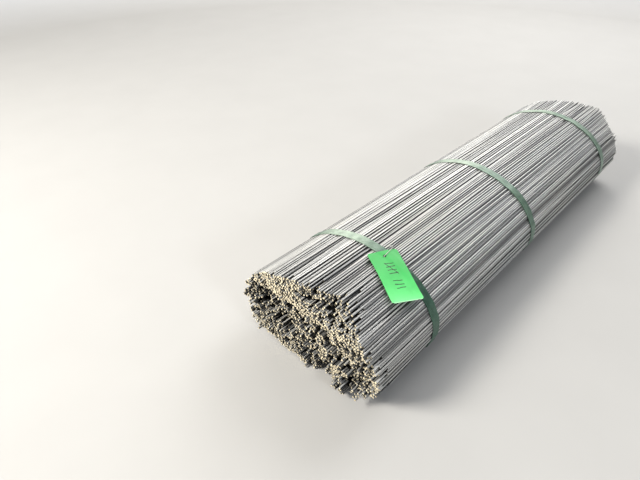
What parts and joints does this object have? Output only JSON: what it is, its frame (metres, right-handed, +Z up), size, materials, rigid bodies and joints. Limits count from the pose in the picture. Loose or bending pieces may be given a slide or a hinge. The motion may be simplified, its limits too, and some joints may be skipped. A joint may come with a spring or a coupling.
{
  "type": "strapped bundle of tension rods",
  "caption": "Bundle of straight galvanised steel tension rods, held by plastic straps, with a blank tag tied to one strap.",
  "frame": {"origin": "on the floor, under the middle of the bundle", "axes": "+X along the rods from the tagged end to the far end, +Y across the bundle, +Z up"},
  "size_m": [1.096, 0.3142, 0.1871],
  "materials": {
    "rod_steel": "dull galvanised, streaked grey",
    "strap_plastic": "translucent green embossed polyester strapping",
    "tag_sheet": "bright green sheet",
    "tie_string": "white twisted string"
  },
  "bodies": {
    "root": {"outer_rods": "rod_steel", "inner_rods": "rod_steel", "strap_near": "strap_plastic", "strap_middle": "strap_plastic", "strap_far": "strap_plastic", "tag": "tag_sheet", "tag_tie": "tie_string"}
  },
  "joints": []
}
